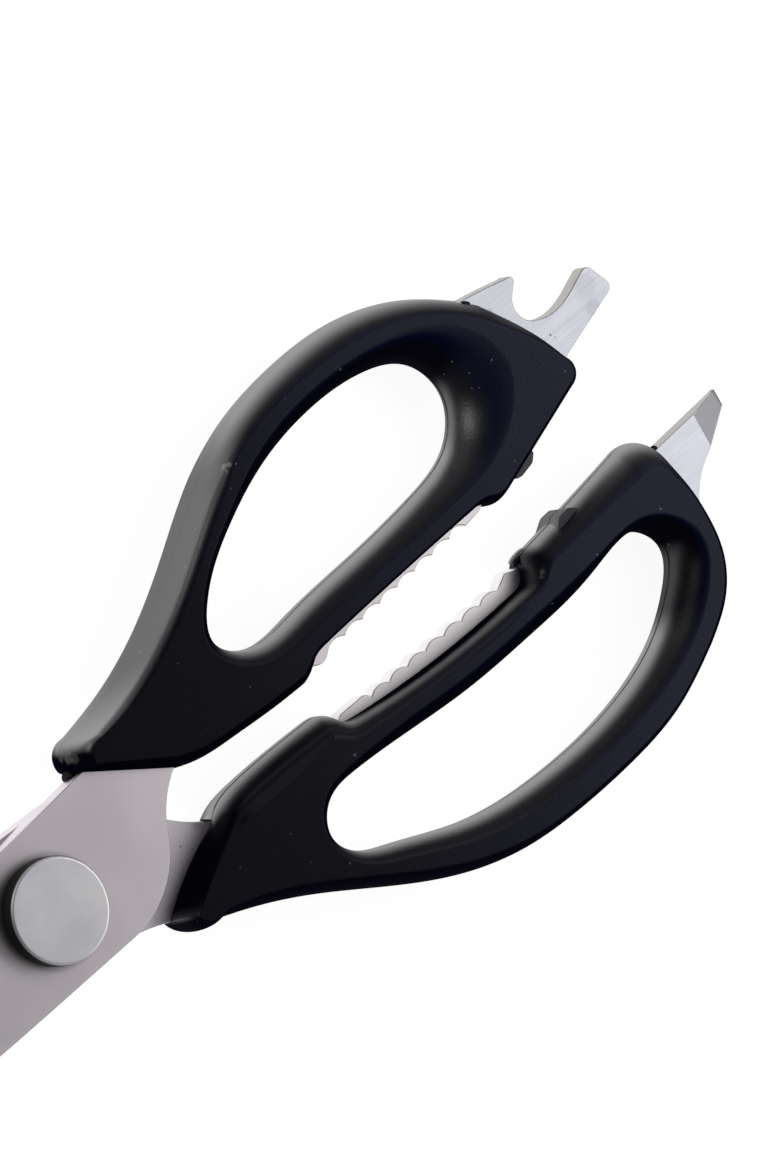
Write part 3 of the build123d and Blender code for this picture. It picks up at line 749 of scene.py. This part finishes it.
def stop_boss(name, corners, top, side, turn, material):
    """One half of a boss from its corners, anticlockwise. Its front leans out from the top down:
    at each point it is an eighth higher for each millimetre below the line at top."""
    closed = np.vstack([corners, corners[:1]])
    gone = np.concatenate([[0], np.cumsum(np.linalg.norm(np.diff(closed, axis=0), axis=1))])
    place = np.linspace(0, gone[-1], 200, endpoint=False)
    ring = softened(np.stack([np.interp(place, gone, closed[:, k]) for k in (0, 1)], 1), 2.8)
    some = np.ones(len(ring))
    wall = wall_rows(ring, ring, BOSS_HALF, 0 * some, 0.08 * some, 2.2 * some, side)
    lean = 1 + BOSS_LEAN * np.abs(wall[..., 1] - top)
    wall[..., 2] = CONTACT_Z + (wall[..., 2] - CONTACT_Z) * lean
    return moulded(name, [wall], turn, material)


upper_boss = [(95.0, 2.1), (96.0, 1.86), (98.4, 2.35), (99.3, 3.5), (98.6, 5.6), (94.2, 4.6)]
for name, side in [("upper_front_boss", 1), ("upper_rear_boss", -1)]:
    boss = stop_boss(name, upper_boss, 1.86, side, REST_TURN, grip_plastic)
    write_painted_sheen(boss, flat_gloss=6.0)
    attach(boss, "front_half")


# Flash of the upper handle: a drop of plastic below the collar's outer corner, and a sliver
# squeezed out at the root of the bottle opener.
def bead(name, centre, radii, heading, turn, gloss, material):
    """An ellipsoid: rings at equal steps of latitude, with its long side along the heading in
    degrees and one even gloss."""
    rings, around = 24, 48
    latitude = np.linspace(-0.49 * np.pi, 0.49 * np.pi, rings)[:, None]
    longitude = np.linspace(0, 2 * np.pi, around, endpoint=False)[None, :]
    high = np.sin(latitude) * radii[2] + 0 * longitude
    long = radii[0] * np.cos(latitude) * np.cos(longitude)
    wide = radii[1] * np.cos(latitude) * np.sin(longitude)
    cos, sin = np.cos(np.radians(heading)), np.sin(np.radians(heading))
    x, y = centre[0] + long * cos - wide * sin, centre[1] + long * sin + wide * cos
    angle = np.radians(turn)
    points = np.stack([
        x * np.cos(angle) - y * np.sin(angle), x * np.sin(angle) + y * np.cos(angle), centre[2] + high,
    ], axis=-1)
    last = (rings - 1) * around
    faces = ring_quads(0, rings, around).tolist()
    faces += [list(range(around))[::-1], list(range(last, last + around))]
    piece = placed_mesh(name, points.reshape(-1, 3), faces, material)
    layer = piece.data.attributes.new("painted_sheen", "FLOAT", "POINT")
    layer.data.foreach_set("value", np.full(len(piece.data.vertices), gloss))
    return piece


for name, centre, radii, heading, gloss in [
    ("collar_drop", (15.1, 12.0, 6.3), (1.05, 1.0, 1.4), 20, 0.05),
    ("opener_flash", (104.4, 25.9, 8.65), (0.8, 0.28, 0.3), -42, 0.05),
]:
    flash = bead(name, centre, radii, heading, REST_TURN, gloss, grip_plastic)
    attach(flash, "front_half")

# Lower handle: the same pair of shells, with a longer finger hole for three or four fingers.
lower_rim = [
    [(28.6, -4.4), (31.0, -2.6), (35.1, -1.6), (42.0, -1.1), (50.4, -0.9)],
    [(50.4, -0.9), (51.8, -1.7), (53.2, -3.6), (55.5, -4.3)],
    [(55.5, -4.3), (72.0, -4.8), (87.3, -3.8)],
    [(87.3, -3.8), (88.5, -2.8), (89.3, -0.8), (91.0, -0.1)],
    [(91.0, -0.1), (98.0, 1.1), (104.0, 2.2), (110.2, 3.4)],
    [(110.2, 3.4), (114.0, 2.9), (115.8, -0.2)],
    [(115.8, -0.2), (116.6, -6.0), (116.8, -11.0), (115.7, -17.1), (112.9, -21.8), (106.8, -26.4)],
    [(106.8, -26.4), (97.0, -31.0), (86.4, -33.2), (76.4, -34.0), (66.8, -33.8),
     (56.2, -31.2), (46.1, -26.4), (35.8, -20.9), (27.0, -17.2), (20.8, -15.2)],
    [(20.8, -15.2), (17.0, -14.5), (15.9, -11.8)],
    [(15.9, -11.8), (22.6, -7.3), (28.6, -4.4)],
]
lower_face = [
    [(28.4, -5.4), (31.2, -4.0), (35.0, -3.4), (42.0, -3.0), (49.2, -2.9)],
    [(49.2, -2.9), (50.4, -3.7), (51.9, -4.9), (54.5, -5.3)],
    [(54.5, -5.3), (71.0, -5.7), (87.3, -4.6)],
    [(87.3, -4.6), (89.1, -4.0), (90.6, -2.9), (92.4, -2.2)],
    [(92.4, -2.2), (98.0, -1.5), (103.0, -1.0), (109.3, -0.4)],
    [(109.3, -0.4), (112.8, -0.8), (114.3, -3.0)],
    [(114.3, -3.0), (115.2, -7.0), (115.2, -11.0), (114.2, -16.4), (111.6, -20.6), (105.6, -25.2)],
    [(105.6, -25.2), (96.4, -29.6), (86.2, -31.7), (76.4, -32.5), (66.9, -32.2),
     (57.0, -29.8), (46.9, -25.1), (36.6, -19.6), (27.6, -15.8), (21.4, -14.2)],
    [(21.4, -14.2), (18.2, -13.9), (17.4, -12.6)],
    [(17.4, -12.6), (23.3, -8.5), (28.4, -5.4)],
]
lower_hole_rim = [
    (42.2, -15.2), (44.6, -11.6), (50.4, -10.3), (60.4, -10.5), (72.0, -10.8), (85.0, -10.0), (97.0, -8.2),
    (106.8, -7.3), (109.8, -11.6), (106.3, -17.2), (99.4, -22.0), (91.0, -25.0), (76.1, -26.8),
    (60.9, -25.4), (50.6, -22.0), (43.8, -18.6),
]
lower_hole_face = [
    (40.4, -15.2), (43.0, -10.1), (50.4, -8.3), (60.4, -8.0), (72.0, -8.1), (86.0, -7.0), (98.5, -5.6),
    (108.6, -5.9), (112.9, -12.2), (109.6, -18.9), (101.8, -24.3), (92.0, -27.6), (76.1, -29.5),
    (60.2, -27.9), (49.6, -24.0), (42.2, -19.8),
]

lower_outline, lower_front, lower_stretch = outline_pair(lower_rim, lower_face, COLUMNS)
lower_outline, lower_front, lower_stretch = lower_outline[::-1], lower_front[::-1], lower_stretch[::-1]

# Along the strip side of its front runs a narrow ledge, wider on the neck.
lower_x = lower_front[:, 0]
LEDGE_DROP = 0.13


def between(start, rise, end, fall):
    """A share of 0 up to x = start, 1 after a straight rise, and 0 again after a fall that ends at end."""
    return np.clip((lower_x - start) / rise, 0, 1) * np.clip((end - lower_x) / fall, 0, 1)


on_ledge = (lower_stretch <= 2) * between(29.5, 4, 84, 6)
ledge_width = 0.6 + 1.0 * between(22, 8, 51, 8) * (lower_stretch <= 1)
lower_ledge = [
    softened(value[:, None], 12)[:, 0] for value in (ledge_width * (on_ledge > 0), LEDGE_DROP * on_ledge)
]

# Painted shade, as less gloss: the wall beside the gripping strip, the strip's far end, the far corner of
# the finger hole, the collar's end, and the crease above the collar.
lower_shade_spots = [
    ((71.5, -7.0, 5.75), (23.0, 2.5, 3.5), 1.0),
    ((88.6, -5.4, 6.5), (3.6, 2.8, 7.0), 0.85),
    ((107.5, -17.0, 6.0), (8.0, 10.0, 12.0), 0.8),
    ((21.0, -9.5, 6.0), (7.5, 4.5, 12.0), 1.0),
    ((25.5, -7.0, 10.0), (7.0, 5.0, 4.5), 0.97),
]
lower_seam = 1.0 + 1.2 * (lower_stretch <= 4)
lower_crease = softened((0.35 - 0.22 * (lower_x < 22))[:, None], 6)[:, 0]

for name, node, side in [
    ("lower_front_shell", "lower_grip_front", 1),
    ("lower_rear_shell", "lower_grip_rear", -1),
]:
    outer = wall_rows(
        lower_outline, lower_front, HALF_THICK, plain, lower_crease, lower_seam, side, lower_ledge
    )
    hole = hole_wall(lower_hole_rim, lower_hole_face, side)
    shell = moulded(name, [outer, hole], -REST_TURN, grip_plastic)
    write_painted_sheen(shell, lower_shade_spots)
    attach(shell, "rear_half")
    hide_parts(node)

# The lower handle's stop boss is wider and rounder than the upper one.
lower_boss = [
    (99.1, 1.67), (97.2, 1.45), (95.2, -0.3), (94.8, -1.5),
    (95.9, -2.5), (100.6, -2.5), (101.7, -1.4), (101.0, 0.3),
]
for name, side in [("lower_front_boss", 1), ("lower_rear_boss", -1)]:
    boss = stop_boss(name, lower_boss, 1.67, side, -REST_TURN, grip_plastic)
    write_painted_sheen(boss, [((98.0, -3.0, 6.0), (8.0, 6.0, 8.0), 0.5)], flat_gloss=4.0)
    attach(boss, "rear_half")

# Flash of the lower handle: torn bits beside the gripping strip's far end and at the collar,
# a dark bead at the root of the lid lifter, and the oval mark of the gate on the strip side.
for name, centre, radii, heading, gloss in [
    ("strip_end_flash", (89.2, -0.7, 6.1), (0.9, 0.3, 0.4), 20, 0.03),
    ("strip_end_lip", (90.2, -0.3, 4.6), (1.6, 0.4, 0.8), 12, 0.9),
    ("collar_flake", (27.9, -3.3, 7.0), (0.9, 0.2, 0.25), -34, 0.3),
    ("lifter_flash", (116.2, 0.5, 6.0), (0.6, 0.4, 0.4), -20, 0.03),
    ("gate_mark", (105.6, 2.0, 7.1), (1.0, 0.25, 0.8), 6, 0.6),
]:
    flash = bead(name, centre, radii, heading, -REST_TURN, gloss, grip_plastic)
    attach(flash, "rear_half")

# Table and light: a white table, one large soft lamp over the handle ends, a small lamp
# behind the handles and a room that is dark to the left.
table_white = bpy.data.materials.new("table_white")
table_white.use_nodes = True
table_shader = table_white.node_tree.nodes["Principled BSDF"]
table_shader.inputs["Base Color"].default_value = (0.25, 0.25, 0.25, 1)
table_shader.inputs["Roughness"].default_value = 1.0
table_shader.inputs["Specular IOR Level"].default_value = 0.0
table_shader.inputs["Emission Color"].default_value = (1, 1, 1, 1)
table_shader.inputs["Emission Strength"].default_value = 0.94
table_mesh = bpy.data.meshes.new("table")
table_mesh.from_pydata([(-3, -3, 0), (3, -3, 0), (3, 3, 0), (-3, 3, 0)], [], [(0, 1, 2, 3)])
table_mesh.materials.append(table_white)
table = bpy.data.objects.new("table", table_mesh)
bpy.context.collection.objects.link(table)


def soft_lamp(name, place, target, size, power, colour):
    """A square soft lamp that faces its target and doesn't show to the camera."""
    light = bpy.data.lights.new(name, "AREA")
    light.shape = "RECTANGLE"
    light.size, light.size_y = size
    light.energy = power
    light.color = colour
    lamp = bpy.data.objects.new(name, light)
    bpy.context.collection.objects.link(lamp)
    lamp.location = place
    lamp.rotation_euler = (Vector(target) - Vector(place)).to_track_quat("-Z", "Y").to_euler()
    lamp.visible_camera = False
    return lamp


soft_lamp("overhead_lamp", (0.385, -0.205, 0.30), (0.385, -0.205, 0.0), (0.35, 0.6), 1.0, (0.96, 0.94, 0.92))
soft_lamp("small_lamp", (-0.31, 0.48, 0.40), (0.09, 0.02, 0.01), (0.17, 0.17), 0.62, (1.0, 0.98, 0.95))

# The room is plain grey, and dark up to the left.
room = bpy.data.worlds.new("room")
bpy.context.scene.world = room
room.use_nodes = True
room_nodes, room_links = room.node_tree.nodes, room.node_tree.links
direction = room_nodes.new("ShaderNodeTexCoord")
toward = room_nodes.new("ShaderNodeVectorMath")
toward.operation = "DOT_PRODUCT"
toward.inputs[1].default_value = (-0.652, 0.370, 0.66)
shade = room_nodes.new("ShaderNodeMapRange")
shade.interpolation_type = "SMOOTHSTEP"
shade.inputs["From Min"].default_value = 0.25
shade.inputs["From Max"].default_value = 0.85
shade.inputs["To Min"].default_value = 0.28
shade.inputs["To Max"].default_value = 0.03
room_links.new(direction.outputs["Generated"], toward.inputs[0])
room_links.new(toward.outputs["Value"], shade.inputs["Value"])
room_links.new(shade.outputs["Result"], room_nodes["Background"].inputs["Strength"])
room_nodes["Background"].inputs["Color"].default_value = (0.98, 0.98, 1.0, 1)

# Camera: a long lens from well above the blades, rolled so that the handles rise to the right.
camera_data = bpy.data.cameras.new("camera")
camera_data.lens = 886.24
camera_data.sensor_width = 36
camera_data.clip_start = 0.1
camera_data.clip_end = 12
camera = bpy.data.objects.new("camera", camera_data)
bpy.context.collection.objects.link(camera)
right, up, back = (0.71154, -0.5427, 0.4463), (0.58145, 0.8114, 0.05964), (-0.39449, 0.21706, 0.89289)
facing = Matrix((right, up, back)).transposed().to_4x4()
camera.matrix_world = Matrix.Translation((-1.5080, 0.87368, 3.58016)) @ facing
bpy.context.scene.camera = camera
bpy.context.scene.view_settings.view_transform = "Standard"
